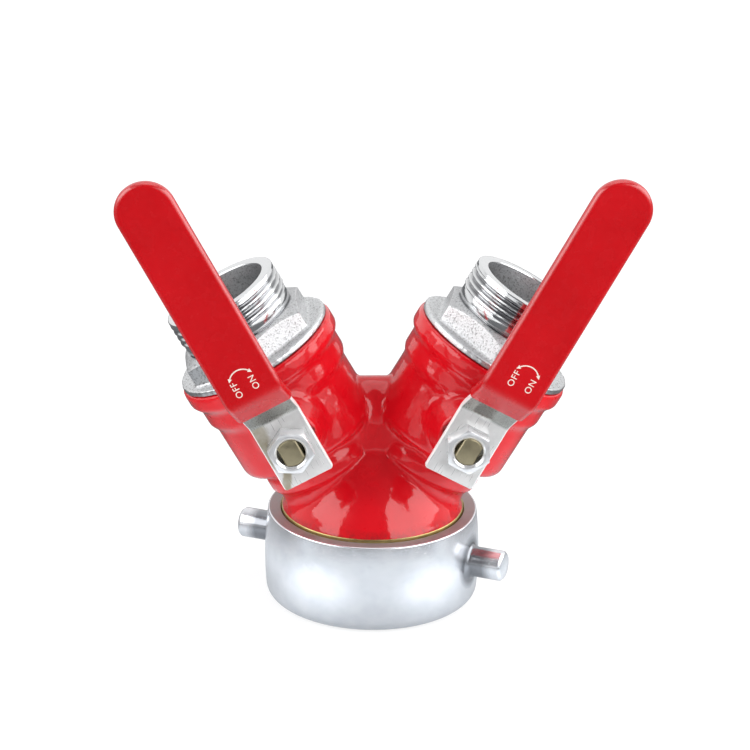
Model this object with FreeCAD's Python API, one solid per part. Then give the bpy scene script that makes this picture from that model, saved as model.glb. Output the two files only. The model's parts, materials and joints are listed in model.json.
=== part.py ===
import FreeCAD, Part
import math
import os

# Siamese hose connection: a swivel inlet below, two ball valves and two hose outlets above.
# Millimetres. +Z is up along the inlet axis, the branches lean to -X and +X, the levers face -Y.
# The origin is the centre of the swivel ring's bottom face.

# Layout
branch_angle = 30.0        # lean of each branch from the inlet axis, degrees
cross_below_ring = 14.8    # the branch axes meet this far below the top of the swivel ring
pivot_s = 73.0             # valve centre, measured along the branch from that crossing
lever_trim = 1.5           # open levers lean this much less than the branches, degrees
running_fit = 0.08         # radial play of a shaft in its hole
seat_fit = 0.15            # play of a ball in its seat or race
joint_fit = 0.1            # radial play in a screwed joint
flat_gap = 0.3             # play between flat faces that slide past each other

# Swivel ring, bearing and gasket
inlet_thread_r = 36.95     # crest radius of the female hose thread
inlet_thread_depth = 15.0
inlet_lead_in = 1.4        # chamfer at the mouth of the thread
gasket_ledge = 2.15        # width of the step that the gasket lies on
gasket_height = 4.7
gasket_margin = 1.0        # the gasket's hole is this much wider than the waterway, in radius
swivel_gap = 0.35          # radial play between tail and ring
ring_height = 39.2
ring_top_wall = 4.5        # wall of the ring at its top face
ring_barrel = 2.3          # how far the wall swells below the top
ring_max_z = 18.2          # height of the widest line of the wall
ring_corner = 4.7          # rounding of the bottom edge
ring_edge_round = 0.8
bearing_ball_r = 2.38
bearing_ball_spacing = 0.3
plug_r = 3.0
plug_angle = 118.0         # direction of the filling hole about Z, degrees
plug_recess = 0.4
plug_key_flats = 2.5
plug_key_depth = 1.2
pin_r = 6.5
pin_reach = 14.75          # how far the lugs stand out of the widest line
pin_z = 21.2
pin_angle = -24.2          # direction of the right lug about Z, degrees
pin_chamfer = 1.1
pin_fillet = 2.0

# Trunk of the casting
tail_wall = 8.1
tail_proud = 0.8           # bare edge of the tail above the ring
tail_edge = 0.7            # width of that bare edge
waterway_shoulder = 5.8    # the trunk's hollow starts to close this far below the tail's top
waterway_rise = 21.0
dome_lip = 1.2
dome_height = 30.0
dome_top_r = 17.0
dome_bulge = 1.6           # how far the bell stands out from a straight cone
web_half_x = 13.0
web_margin = 14.2          # the crotch web is this much thinner than the chambers on each face
web_middle = 36.8          # centre of the web's oval section above the crossing of the axes
web_rise = 37.8            # from that centre to the web's crest

# Valve ball, seats and stem
ball_r = 24.5
ball_wall = 8.0            # from the ball's bore to its surface
ball_slot_depth = 4.5
seat_width = 4.8
seat_wrap = 2.1            # how far a seat reaches past its line of contact towards the ball's centre
seat_thickness = 4.3       # thickness of a seat behind its line of contact
tang_width = 8.0
tang_length = 14.0
stem_foot_gap = 0.55
stem_r = 6.0
stem_shoulder_step = 2.5
stem_shoulder_height = 4.6
stem_flats = 8.6
stem_recess = 0.6          # the stem ends this far inside its nut
stem_edge = 0.5
washer_height = 0.95

# Branch of the casting, along its own axis
branch_start_s = 30.0
neck_r = 23.2
collar_height = 8.2
collar_r = 25.2
collar_round = 2.0
groove_height = 3.7
groove_r = 24.2
chamber_clearance = 3.1    # room around the ball
chamber_wall = 3.6
chamber_floor = 2.3
chamber_corner = 4.2
seat_pocket_depth = 1.3    # the seat pocket starts this far below the seat's face
screw_step = 2.7           # the adapter's hole is this much wider than the chamber, in radius
screw_runout = 2.5
band_wall = 2.6
band_height = 11.0
rim_wall = 5.2
rim_height = 9.9
step_run = 3.2             # length of the sloped shoulder under band and rim
rim_round = 1.2

# Stem boss, packing and gland
boss_wall = 3.2
boss_flare = 3.6
boss_edge_round = 1.6
boss_land = 6.0            # length of the plain stem hole below the packing
packing_width = 3.0
packing_height = 4.5
gland_depth = 2.0
gland_hex_step = 1.0
gland_hex_height = 3.4

# Lever, grip and nut
lever_gap = 0.6            # play between gland nut and lever
lever_thickness = 3.0
lever_width = 22.6
lever_tail = 16.6          # plate below the pivot
lever_tip = 132.8          # plate above the pivot
lever_corner = 1.5
bend_start = 13.0
bend_angle = 40.0
bend_radius = 6.0
bend_offset = 14.5         # how far the bend carries the plate outward
grip_wall = 1.3
grip_start = 7.4           # start of the grip along the sloped part of the bend
grip_edge_round = 2.2
nut_wall = 2.5
nut_height = 7.2
nut_chamfer = 1.0
nut_countersink = 0.9
nut_turn = {"left": 30.0, "right": 0.0}

# Outlet adapter, along the branch axis
adapter_shoulder = 5.5     # from the back of the outlet seat to the end of the casting
spigot_lip = 0.5
flange_inset = 0.8
flange_height = 2.7
flange_round = 0.7
outlet_thread_r = 25.27    # crest radius of the male hose thread
outlet_thread_length = 12.9
outlet_wall = 5.02
collar_step = 0.57         # the plain collar is this much smaller than the thread, in radius
adapter_collar_height = 4.0
hex_top_step = 0.7
hex_crown = 5.7            # how far the hexagon's corners stand out of its top edge
hex_height = 10.6
hex_corner_height = 7.4
hex_turn = {"left": 29.6, "right": 21.1}
mouth_chamfer = 0.6
bore_chamfer = 0.5
seat_ledge = 1.05          # width of the step behind the outlet seat
o_ring_r = 1.0
o_ring_depth = 3.4         # the O-ring lies this far below the end of the casting
o_ring_squeeze = 0.15

SIDES = {"left": -1, "right": 1}
UP = FreeCAD.Vector(0, 0, 1)
FRONT = FreeCAD.Vector(0, -1, 0)
ORIGIN = FreeCAD.Vector(0, 0, 0)
TOUCH = 0.01               # points closer than this count as one

# Radii and heights about the inlet axis
tail_r = inlet_thread_r + gasket_ledge
ring_bore_r = tail_r + swivel_gap
ring_top_r = ring_bore_r + ring_top_wall
ring_max_r = ring_top_r + ring_barrel
pin_tip = ring_max_r + pin_reach
tail_bottom_z = inlet_thread_depth + gasket_height + flat_gap
tail_top_z = ring_height + tail_proud
trunk_inner_r = tail_r - tail_wall
race_r = tail_r + swivel_gap / 2
race_groove_r = bearing_ball_r + seat_fit
bearing_z = (tail_bottom_z + ring_height) / 2
branch_cross_z = ring_height - cross_below_ring

# Distances along a branch axis
ball_bore_r = ball_r - ball_wall
seat_contact = math.sqrt(ball_r ** 2 - ball_bore_r ** 2)
seat_face = seat_contact - seat_wrap
seat_back = seat_contact + seat_thickness
chamber_floor_s = pivot_s - seat_face - seat_pocket_depth
chamber_start_s = chamber_floor_s - chamber_floor
collar_end_s = chamber_start_s - groove_height
collar_start_s = collar_end_s - collar_height
adapter_end_s = pivot_s + seat_face - spigot_lip
rim_end_s = pivot_s + seat_back + adapter_shoulder
band_end_s = rim_end_s - rim_height
band_start_s = band_end_s - band_height
o_ring_s = rim_end_s - o_ring_depth
flange_top_s = rim_end_s + flange_height
hex_top_s = flange_top_s + hex_height
thread_start_s = hex_top_s + adapter_collar_height
mouth_s = thread_start_s + outlet_thread_length

# Radii about a branch axis
waterway_r = ball_bore_r + joint_fit
seat_outer_r = ball_bore_r + seat_width
seat_pocket_r = seat_outer_r + joint_fit
throat_r = seat_outer_r - seat_ledge
chamber_inner_r = ball_r + chamber_clearance
chamber_outer_r = chamber_inner_r + chamber_wall
adapter_screw_r = chamber_inner_r + screw_step
screw_hole_r = adapter_screw_r + joint_fit
band_r = screw_hole_r + band_wall
rim_r = screw_hole_r + rim_wall
flange_r = rim_r - flange_inset
outlet_bore_r = outlet_thread_r - outlet_wall
adapter_collar_r = outlet_thread_r - collar_step
hex_top_r = adapter_collar_r + hex_top_step
hex_corner_r = hex_top_r + hex_crown
o_ring_middle_r = screw_hole_r - o_ring_r - o_ring_squeeze

# Radii and distances along a stem, counted outward from the valve centre
stem_hole_r = stem_r + running_fit
stem_shoulder_r = stem_r + stem_shoulder_step
packing_r = stem_r + packing_width
boss_r = packing_r + boss_wall
boss_foot_r = boss_r + boss_flare
gland_hex_flats = 2 * (packing_r + gland_hex_step)
nut_flats = 2 * (stem_r + nut_wall)
ball_slot_floor_y = ball_r - ball_slot_depth
shoulder_y = ball_r + stem_foot_gap
washer_y = shoulder_y + stem_shoulder_height
shoulder_pocket_y = washer_y + washer_height + flat_gap
packing_start_y = shoulder_pocket_y + boss_land
packing_end_y = packing_start_y + packing_height
boss_end_y = packing_end_y + gland_depth
lever_back_y = boss_end_y + gland_hex_height + lever_gap
lever_middle_y = lever_back_y + lever_thickness / 2
lever_front_y = lever_back_y + lever_thickness
nut_front_y = lever_front_y + nut_height
stem_end_y = nut_front_y - stem_recess


def vec(r, z):
    return FreeCAD.Vector(r, 0, z)


def arc_points(centre, radius, start, end):
    """Start, middle and end of an arc about centre, with angles in degrees from +r towards +z."""
    angles = (start, (start + end) / 2, end)
    return tuple((centre[0] + radius * math.cos(math.radians(a)),
                  centre[1] + radius * math.sin(math.radians(a))) for a in angles)


def outline_wire(outline):
    """Closed wire in the XZ plane; an entry is a corner (r, z) or the three points of an arc."""
    first = outline[0] if isinstance(outline[0][0], (int, float)) else outline[0][0]
    here = first
    edges = []
    for entry in outline + [first]:
        corner = entry if isinstance(entry[0], (int, float)) else entry[0]
        if math.dist(here, corner) > TOUCH:
            edges.append(Part.makeLine(vec(*here), vec(*corner)))
        here = corner
        if entry is not corner:
            edges.append(Part.Arc(*[vec(*p) for p in entry]).toShape())
            here = entry[2]
    return Part.Wire(edges)


def turned(outline):
    """Solid of revolution about Z."""
    return Part.Face(outline_wire(outline)).revolve(ORIGIN, UP, 360)


def bar(radius, start, end, axis=UP):
    """Round bar along an axis through the origin, between two distances."""
    return Part.makeCylinder(radius, end - start, axis * start, axis)


def hexagon_bar(flats, start, end, axis=UP, turn=0.0):
    """Hexagonal bar; at turn 0 a corner lies on the X axis."""
    corner_r = flats / math.sqrt(3)
    points = [FreeCAD.Vector(corner_r * math.cos(math.radians(turn + 60 * k)),
                             corner_r * math.sin(math.radians(turn + 60 * k)), 0) for k in range(7)]
    prism = Part.Face(Part.makePolygon(points)).extrude(UP * (end - start))
    prism.Placement = FreeCAD.Placement(axis * start, FreeCAD.Rotation(UP, axis))
    return prism


def double_flat_bar(radius, flats, start, end):
    """Round bar along -Y with two flats that face left and right."""
    block = Part.makeBox(flats, end - start, 2 * radius, FreeCAD.Vector(-flats / 2, -end, -radius))
    return bar(radius, start, end, FRONT).common(block)


def on_branch(shape, side):
    """A shape drawn about Z, set on a branch axis."""
    turn = FreeCAD.Rotation(-FRONT, SIDES[side] * branch_angle)
    placed = shape.copy()
    placed.Placement = FreeCAD.Placement(UP * branch_cross_z, turn).multiply(shape.Placement)
    return placed


def on_pivot(shape, side):
    """A shape drawn about the valve centre, with the lever along +Z, set on its branch."""
    lean = math.radians(branch_angle)
    centre = FreeCAD.Vector(SIDES[side] * pivot_s * math.sin(lean), 0,
                            branch_cross_z + pivot_s * math.cos(lean))
    turn = FreeCAD.Rotation(-FRONT, SIDES[side] * (branch_angle - lever_trim))
    placed = shape.copy()
    placed.Placement = FreeCAD.Placement(centre, turn).multiply(shape.Placement)
    return placed


def around_inlet(shape, degrees):
    """A shape drawn along +X, turned about the inlet axis."""
    placed = shape.copy()
    placed.rotate(ORIGIN, UP, degrees)
    return placed


def branch_casting():
    """Outside of one branch of the casting, with its stem boss, drawn about Z."""
    corner_centre = (chamber_outer_r - chamber_corner, chamber_start_s + chamber_corner)
    outside = turned([
        (0, branch_start_s), (neck_r, branch_start_s), (neck_r, collar_start_s),
        arc_points((collar_r - collar_round, collar_start_s + collar_round), collar_round, -70, 0),
        arc_points((collar_r - collar_round, collar_end_s - collar_round), collar_round, 0, 70),
        (groove_r, collar_end_s + collar_round / 2), (groove_r, chamber_start_s),
        arc_points(corner_centre, chamber_corner, -90, 0),
        (chamber_outer_r, band_start_s), (band_r, band_start_s + step_run), (band_r, band_end_s),
        (rim_r, band_end_s + step_run),
        arc_points((rim_r - rim_round, rim_end_s - rim_round), rim_round, 0, 90),
        (0, rim_end_s)])
    boss = turned([
        (0, 0), (boss_foot_r, 0), (boss_foot_r, chamber_inner_r), (boss_r, boss_end_y - boss_edge_round),
        arc_points((boss_r - boss_edge_round, boss_end_y - boss_edge_round), boss_edge_round, 0, 90),
        (0, boss_end_y)])
    boss.Placement = FreeCAD.Placement(UP * pivot_s, FreeCAD.Rotation(UP, FRONT))
    return outside.fuse(boss)


def branch_hollow():
    """Waterway, seat pocket, ball chamber, adapter hole and stem hole of one branch, drawn about Z."""
    stem_hole = bar(stem_shoulder_r + flat_gap, 0, shoulder_pocket_y, FRONT).fuse([
        bar(stem_hole_r, 0, lever_back_y, FRONT),
        bar(packing_r, packing_start_y, lever_back_y, FRONT)])
    stem_hole.translate(UP * pivot_s)
    return bar(waterway_r, branch_start_s / 2, pivot_s).fuse([
        bar(seat_pocket_r, pivot_s - seat_back, pivot_s),
        bar(chamber_inner_r, chamber_floor_s, adapter_end_s),
        bar(screw_hole_r, adapter_end_s - screw_runout, flange_top_s),
        stem_hole])


def trunk_casting():
    """Tail, bell-shaped trunk and crotch web of the casting."""
    dome_r = tail_r - tail_edge
    dome_top_z = tail_top_z + dome_height
    middle = ((dome_r + dome_top_r) / 2 + dome_bulge, (tail_top_z + dome_lip + dome_top_z) / 2 + dome_bulge)
    bell = turned([
        (0, tail_bottom_z), (tail_r, tail_bottom_z), (tail_r, tail_top_z), (dome_r, tail_top_z),
        ((dome_r, tail_top_z + dome_lip), middle, (dome_top_r, dome_top_z)), (0, dome_top_z)])
    centre = vec(-web_half_x, branch_cross_z + web_middle)
    oval = Part.Ellipse(centre + UP * web_rise, centre + FRONT * (chamber_outer_r - web_margin), centre)
    web = Part.Face(Part.Wire(oval.toShape())).extrude(vec(2 * web_half_x, 0))
    return bell.fuse(web)


def trunk_hollow():
    """Inlet waterway of the trunk: above its wall it closes in one arc to a small flat crown."""
    wall_z = tail_top_z - waterway_shoulder
    flattening = (trunk_inner_r ** 2 - waterway_rise ** 2) / 4
    centre = (flattening / trunk_inner_r, wall_z - flattening / waterway_rise)
    radius = math.dist(centre, (trunk_inner_r, wall_z))
    start = math.degrees(math.atan2(wall_z - centre[1], trunk_inner_r - centre[0]))
    return turned([
        (0, 0), (trunk_inner_r, 0), arc_points(centre, radius, start, 90), (0, centre[1] + radius)])


def race():
    """Ring-shaped groove that the bearing balls run in, half in the tail and half in the ring."""
    groove = Part.makeTorus(race_r, race_groove_r)
    groove.translate(UP * bearing_z)
    return groove


def wye_body():
    casting = trunk_casting().fuse([on_branch(branch_casting(), side) for side in SIDES])
    hollow = trunk_hollow().fuse([on_branch(branch_hollow(), side) for side in SIDES])
    return casting.cut(hollow).cut(race()).removeSplitter()


def ring_outside():
    """Barrel-shaped outer form of the swivel ring, closed across its bore."""
    wall_top_z = ring_height - ring_edge_round
    barrel_r = ((wall_top_z - ring_max_z) ** 2 + ring_barrel ** 2) / (2 * ring_barrel)
    barrel_centre = (ring_max_r - barrel_r, ring_max_z)
    corner_out = math.sqrt((barrel_r - ring_corner) ** 2 - (ring_max_z - ring_corner) ** 2)
    foot = math.degrees(math.atan2(ring_corner - ring_max_z, corner_out))
    head = math.degrees(math.asin((wall_top_z - ring_max_z) / barrel_r))
    return turned([
        (0, 0), arc_points((barrel_centre[0] + corner_out, ring_corner), ring_corner, -90, foot),
        arc_points(barrel_centre, barrel_r, foot, head),
        arc_points((ring_top_r - ring_edge_round, wall_top_z), ring_edge_round, 0, 90), (0, ring_height)])


def ring_wall_r(z):
    """Radius of the ring's outer wall at a height."""
    return ring_outside().common(Part.makeLine(vec(0, z), vec(2 * ring_max_r, z))).BoundBox.XMax


def plug_hole():
    return around_inlet(bar(plug_r, race_r, 2 * ring_max_r, vec(1, 0)).translate(UP * bearing_z), plug_angle)


def pin_lug(degrees):
    """Round spanner lug, drawn from the inlet axis outward."""
    lug = turned([
        (0, 0), (pin_r, 0), (pin_r, pin_tip - pin_chamfer), (pin_r - pin_chamfer, pin_tip), (0, pin_tip)])
    lug.Placement = FreeCAD.Placement(vec(0, pin_z), FreeCAD.Rotation(UP, vec(1, 0)))
    return around_inlet(lug, degrees)


def swivel_ring():
    bore = turned([
        (0, 0), (inlet_thread_r + inlet_lead_in, 0), (inlet_thread_r, inlet_lead_in),
        (inlet_thread_r, inlet_thread_depth), (ring_bore_r, inlet_thread_depth),
        (ring_bore_r, ring_height), (0, ring_height)])
    blank = ring_outside().fuse([pin_lug(pin_angle), pin_lug(pin_angle + 180)])
    roots = [edge for edge in blank.Edges if isinstance(edge.Curve, Part.BSplineCurve)]
    return blank.makeFillet(pin_fillet, roots).cut(bore).cut(race()).cut(plug_hole())


def race_plug():
    outer = ring_wall_r(bearing_z) - plug_recess
    inner = race_r + race_groove_r + flat_gap
    key = hexagon_bar(plug_key_flats, outer - plug_key_depth, 2 * ring_max_r, vec(1, 0))
    plug = bar(plug_r, inner, outer, vec(1, 0)).cut(key)
    return around_inlet(plug.translate(UP * bearing_z), plug_angle)


def bearing_balls():
    """Full row of loose balls in the race, each its own solid."""
    pitch = 2 * math.asin((bearing_ball_r + bearing_ball_spacing / 2) / race_r)
    count = math.floor(2 * math.pi / pitch)
    balls = [Part.makeSphere(bearing_ball_r, vec(race_r, bearing_z)) for k in range(count)]
    return Part.makeCompound([around_inlet(ball, 360 * k / count) for k, ball in enumerate(balls)])


def inlet_gasket():
    top = tail_bottom_z - flat_gap
    outer = bar(ring_bore_r - flat_gap, top - gasket_height, top)
    return outer.cut(bar(trunk_inner_r + gasket_margin, 0, ring_height))


def valve_ball():
    slot_width = tang_width + 2 * joint_fit
    slot = Part.makeBox(2 * ball_r, ball_r, slot_width,
                        FreeCAD.Vector(-ball_r, -ball_slot_floor_y - ball_r, -slot_width / 2))
    return Part.makeSphere(ball_r).cut(bar(ball_bore_r, -ball_r, ball_r)).cut(slot)


def seat(direction):
    """Seat ring that faces the ball from below (-1) or above (+1), drawn about Z."""
    ends = sorted((pivot_s + direction * seat_face, pivot_s + direction * seat_back))
    ball = Part.makeSphere(ball_r + seat_fit, UP * pivot_s)
    return bar(seat_outer_r, *ends).cut(bar(ball_bore_r + flat_gap, *ends)).cut(ball)


def stem():
    tang = Part.makeBox(tang_length, shoulder_y - ball_slot_floor_y, tang_width,
                        FreeCAD.Vector(-tang_length / 2, -shoulder_y, -tang_width / 2))
    tang.translate(FRONT * joint_fit)
    shoulder = bar(stem_shoulder_r, shoulder_y, washer_y, FRONT)
    shaft = bar(stem_r, shoulder_y, lever_back_y, FRONT)
    end = double_flat_bar(stem_r - joint_fit, stem_flats, lever_back_y, stem_end_y)
    rim = [e for e in end.Edges if e.BoundBox.YMax < -stem_end_y + TOUCH]
    return tang.fuse([shoulder, shaft, end.makeChamfer(stem_edge, rim)]).removeSplitter()


def stem_ring(outer, start, end):
    """Flat ring about the stem."""
    return bar(outer, start, end, FRONT).cut(bar(stem_hole_r, 0, end, FRONT))


def thrust_washer():
    return stem_ring(stem_shoulder_r, washer_y, washer_y + washer_height)


def on_stem_axis(shape):
    """A fixed piece of the stem seal, moved up the branch to the valve centre."""
    placed = shape.copy()
    placed.translate(UP * pivot_s)
    return placed


def gland_nut():
    head = hexagon_bar(gland_hex_flats, boss_end_y, boss_end_y + gland_hex_height, FRONT)
    body = bar(packing_r - joint_fit, packing_end_y, boss_end_y, FRONT).fuse(head)
    return body.cut(bar(stem_hole_r, 0, lever_back_y, FRONT))


def strip_side(offset):
    """One long side of the bent strip, at an offset from its middle surface: (outward, along) points."""
    angle = math.radians(bend_angle)
    rise = 2 * bend_radius * (1 - math.cos(angle))
    slope = (bend_offset - rise) / math.sin(angle)
    run = 2 * bend_radius * math.sin(angle) + slope * math.cos(angle)
    low = (lever_middle_y + bend_radius, bend_start)
    high = (lever_middle_y + bend_offset - bend_radius, bend_start + run)
    inner = arc_points(low, bend_radius - offset, 180, 180 - bend_angle)
    outer = arc_points(high, bend_radius + offset, -bend_angle, 0)
    return inner, outer


def bent_strip(width, half_thickness, start, tip):
    """Flat strip with a double bend and a round tip, along +Z, bent towards -Y."""
    back = strip_side(-half_thickness)
    front = strip_side(half_thickness)
    far = lever_middle_y + bend_offset
    section = outline_wire([
        (lever_middle_y - half_thickness, start), back[0], back[1], (far - half_thickness, tip),
        (far + half_thickness, tip), front[1][::-1], front[0][::-1],
        (lever_middle_y + half_thickness, start)])
    strip = Part.Face(section).extrude(FreeCAD.Vector(0, width, 0))
    strip.rotate(ORIGIN, UP, -90)
    strip.translate(FreeCAD.Vector(-width / 2, 0, 0))
    half = width / 2
    plan = outline_wire([
        (-half, start), (half, start), (half, tip - half),
        ((half, tip - half), (0, tip), (-half, tip - half))])
    cutter = Part.Face(plan).extrude(FRONT * (far + 2 * bend_offset))
    return strip.common(cutter)


def lever():
    plate = bent_strip(lever_width, lever_thickness / 2, -lever_tail, lever_tip)
    corners = [e for e in plate.Edges if e.BoundBox.ZMax < TOUCH - lever_tail and e.BoundBox.XLength < TOUCH]
    hole = double_flat_bar(stem_r, stem_flats + 2 * joint_fit, 0, lever_front_y + lever_thickness)
    return plate.makeFillet(lever_corner, corners).cut(hole)


def grip_shell():
    """Outer form of the dipped grip, whole along the strip and cut off square on the slope of the bend."""
    width = lever_width + 2 * grip_wall
    shell = bent_strip(width, lever_thickness / 2 + grip_wall, 0, lever_tip + grip_wall)
    angle = math.radians(bend_angle)
    along = bend_start + bend_radius * math.sin(angle) + grip_start * math.cos(angle)
    out = lever_middle_y + bend_radius * (1 - math.cos(angle)) + grip_start * math.sin(angle)
    reach = lever_tip + lever_tail
    keep = Part.makeBox(reach, reach, reach, FreeCAD.Vector(-reach / 2, -reach / 2, 0))
    keep.Placement = FreeCAD.Placement(FreeCAD.Vector(0, -out, along),
                                       FreeCAD.Rotation(vec(1, 0), bend_angle)).multiply(keep.Placement)
    return shell.common(keep)


def grip():
    shell = grip_shell()
    return shell.makeFillet(grip_edge_round, shell.Edges).cut(lever())


def lever_nut(side):
    front = nut_front_y
    corner_r = nut_flats / math.sqrt(3)
    blank = hexagon_bar(nut_flats, lever_front_y, front, FRONT, nut_turn[side])
    crown = turned([
        (0, lever_front_y), (corner_r + nut_chamfer, lever_front_y),
        (corner_r + nut_chamfer, front - nut_chamfer), (nut_flats / 2, front), (0, front)])
    crown.Placement = FreeCAD.Placement(ORIGIN, FreeCAD.Rotation(UP, FRONT))
    sink = Part.makeCone(stem_r, stem_r + nut_countersink, nut_countersink,
                         FRONT * (front - nut_countersink), FRONT)
    return blank.common(crown).cut(bar(stem_r, 0, front, FRONT)).cut(sink)


def outlet_adapter(side):
    turned_form = turned([
        (throat_r, pivot_s + seat_back), (seat_pocket_r, pivot_s + seat_back),
        (seat_pocket_r, adapter_end_s), (adapter_screw_r, adapter_end_s), (adapter_screw_r, rim_end_s),
        arc_points((flange_r - flange_round, rim_end_s + flange_round), flange_round, -90, 0),
        arc_points((flange_r - flange_round, flange_top_s - flange_round), flange_round, 0, 90),
        (adapter_collar_r, flange_top_s), (adapter_collar_r, thread_start_s),
        (outlet_thread_r, thread_start_s), (outlet_thread_r, mouth_s - mouth_chamfer),
        (outlet_thread_r - mouth_chamfer, mouth_s), (outlet_bore_r + bore_chamfer, mouth_s),
        (outlet_bore_r, mouth_s - bore_chamfer), (outlet_bore_r, flange_top_s), (throat_r, rim_end_s)])
    crown = turned([
        (outlet_bore_r, flange_top_s), (hex_corner_r + flange_height, flange_top_s),
        (hex_corner_r + flange_height, flange_top_s + hex_corner_height),
        (hex_corner_r, flange_top_s + hex_corner_height), (hex_top_r, hex_top_s),
        (outlet_bore_r, hex_top_s)])
    flats = hex_corner_r * math.sqrt(3)
    hexagon = hexagon_bar(flats, flange_top_s, hex_top_s, UP, hex_turn[side]).common(crown)
    groove = bar(screw_hole_r, o_ring_s - o_ring_r - joint_fit, o_ring_s + o_ring_r + joint_fit)
    groove = groove.cut(bar(o_ring_middle_r - o_ring_r - joint_fit, 0, mouth_s))
    return turned_form.fuse(hexagon).cut(groove).removeSplitter()


def o_ring():
    ring = Part.makeTorus(o_ring_middle_r, o_ring_r)
    ring.translate(UP * o_ring_s)
    return ring


def all_pieces():
    pieces = {
        "wye_body": wye_body(),
        "swivel_ring": swivel_ring(),
        "race_plug": race_plug(),
        "bearing_balls": bearing_balls(),
        "inlet_gasket": inlet_gasket(),
    }
    fixed = {
        "inlet_seat": seat(-1),
        "outlet_seat": seat(1),
        "stem_packing": on_stem_axis(stem_ring(packing_r - joint_fit, packing_start_y, packing_end_y)),
        "gland_nut": on_stem_axis(gland_nut()),
        "adapter_o_ring": o_ring(),
    }
    moving = {
        "valve_ball": valve_ball(),
        "stem": stem(),
        "thrust_washer": thrust_washer(),
        "lever": lever(),
        "grip": grip(),
    }
    for side in SIDES:
        pieces[side + "_outlet_adapter"] = on_branch(outlet_adapter(side), side)
        pieces[side + "_lever_nut"] = on_pivot(lever_nut(side), side)
        for name, shape in fixed.items():
            pieces[side + "_" + name] = on_branch(shape, side)
        for name, shape in moving.items():
            pieces[side + "_" + name] = on_pivot(shape, side)
    return pieces


os.makedirs("parts", exist_ok=True)
for name, shape in all_pieces().items():
    shape.exportStep("parts/" + name + ".step")
    print(name, len(shape.Solids), round(shape.Volume, 1), shape.isValid())
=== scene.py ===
import json
import math

import bmesh
import bpy
import numpy as np
from mathutils import Matrix, Vector


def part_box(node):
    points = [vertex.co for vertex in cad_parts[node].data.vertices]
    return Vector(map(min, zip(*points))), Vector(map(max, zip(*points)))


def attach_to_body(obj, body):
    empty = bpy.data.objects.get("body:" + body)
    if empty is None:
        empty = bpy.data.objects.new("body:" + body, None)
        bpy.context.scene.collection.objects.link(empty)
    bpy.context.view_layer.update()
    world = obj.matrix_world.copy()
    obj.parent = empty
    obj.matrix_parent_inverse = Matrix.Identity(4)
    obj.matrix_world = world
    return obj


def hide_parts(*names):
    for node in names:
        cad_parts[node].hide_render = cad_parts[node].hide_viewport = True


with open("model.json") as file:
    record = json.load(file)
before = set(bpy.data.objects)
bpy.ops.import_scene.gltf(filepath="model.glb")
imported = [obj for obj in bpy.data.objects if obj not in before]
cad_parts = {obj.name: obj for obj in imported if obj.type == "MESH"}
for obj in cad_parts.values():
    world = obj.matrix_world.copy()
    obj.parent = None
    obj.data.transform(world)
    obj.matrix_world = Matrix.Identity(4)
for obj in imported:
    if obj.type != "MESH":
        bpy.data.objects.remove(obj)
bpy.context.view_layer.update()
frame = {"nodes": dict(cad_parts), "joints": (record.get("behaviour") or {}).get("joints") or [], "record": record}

# Looks of a gated hose wye. Lengths are in millimetres and become metres with MM; angles are in degrees.
# Names ending in _S are distances along a branch from the crossing of the branches' axes.
MM = 0.001
SIDES = {"left": -1, "right": 1}
mounts = {mount["name"]: mount for mount in frame["record"]["mounts"]}
joints = {joint["name"]: joint for joint in frame["joints"]}

# Camera, fitted to the photograph
CAMERA_TARGET = Vector((0.45, 0.0, 99.61)) * MM
CAMERA_DISTANCE = 1400.0 * MM
CAMERA_AZIMUTH = -3.0
CAMERA_ELEVATION = 21.44
CAMERA_ROLL = 0.73
CAMERA_LENS = 158.19
CAMERA_SENSOR = 36.0

# Branches and the crossing of their axes
branch_axis = {side: Vector(mounts[side + "_outlet_thread"]["axis"]).normalized() for side in SIDES}
thread_middle = {side: Vector(mounts[side + "_outlet_thread"]["pos_m"]) for side in SIDES}
CROSSING_TO_THREAD = thread_middle["right"].x / branch_axis["right"].x
crossing = thread_middle["right"] - branch_axis["right"] * CROSSING_TO_THREAD
pivot = {side: Vector(joints[side + "_valve"]["pos_m"]) for side in SIDES}

# Outlet adapter
OUTLET_THREAD_R = mounts["right_outlet_thread"]["dims"]["r_mm"]
OUTLET_PITCH = 2.82
OUTLET_THREAD_DEPTH = 1.45
MOUNT_SETBACK = 1.0
MOUTH_S = ((thread_middle["right"] - crossing).length / MM
           + mounts["right_outlet_thread"]["dims"]["length_mm"] / 2 + MOUNT_SETBACK)
THREAD_LENGTH = 12.9
THREAD_START_S = MOUTH_S - THREAD_LENGTH
COLLAR_HEIGHT = 4.0
HEX_TOP_S = THREAD_START_S - COLLAR_HEIGHT
HEX_HEIGHT = 10.6
FLANGE_TOP_S = HEX_TOP_S - HEX_HEIGHT
FLANGE_HEIGHT = 2.7
RIM_END_S = FLANGE_TOP_S - FLANGE_HEIGHT
OUTLET_BORE_R = OUTLET_THREAD_R - 5.02
COLLAR_R = OUTLET_THREAD_R - 0.57
LIP_R = OUTLET_THREAD_R - 0.15
LIP_HEIGHT = 1.7
MOUTH_ROUND = 0.6
THREAD_ROW = 0.14          # height of one row of the thread's mesh
THREAD_TOP = 0.75          # the thread's rows start this far below the mouth
LIP_RUNOUT = 0.9
COLLAR_RUNOUT = (1.5, 0.4)
COLLAR_FOOT = 0.9
COLLAR_GROOVE = ((0.1, 0.75), (0.7, 0.45), (0.7, 0.15), (0.1, 0.0))  # depth, height above the hexagon
# Strength of the painted shade in the cut at the collar's foot
COLLAR_GROOVE_SHADE = 0.7
HEX_TOP_R = COLLAR_R + 0.7
HEX_CORNER_R = HEX_TOP_R + 5.7
HEX_CORNER_HEIGHT = 7.4
HEX_TURN = {"left": 29.6, "right": 21.1}
HEX_CORNER_BLUNT = 0.1
HEX_CORNER_ROUND = 0.5
HEX_EDGE_ROUND = 0.35
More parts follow.
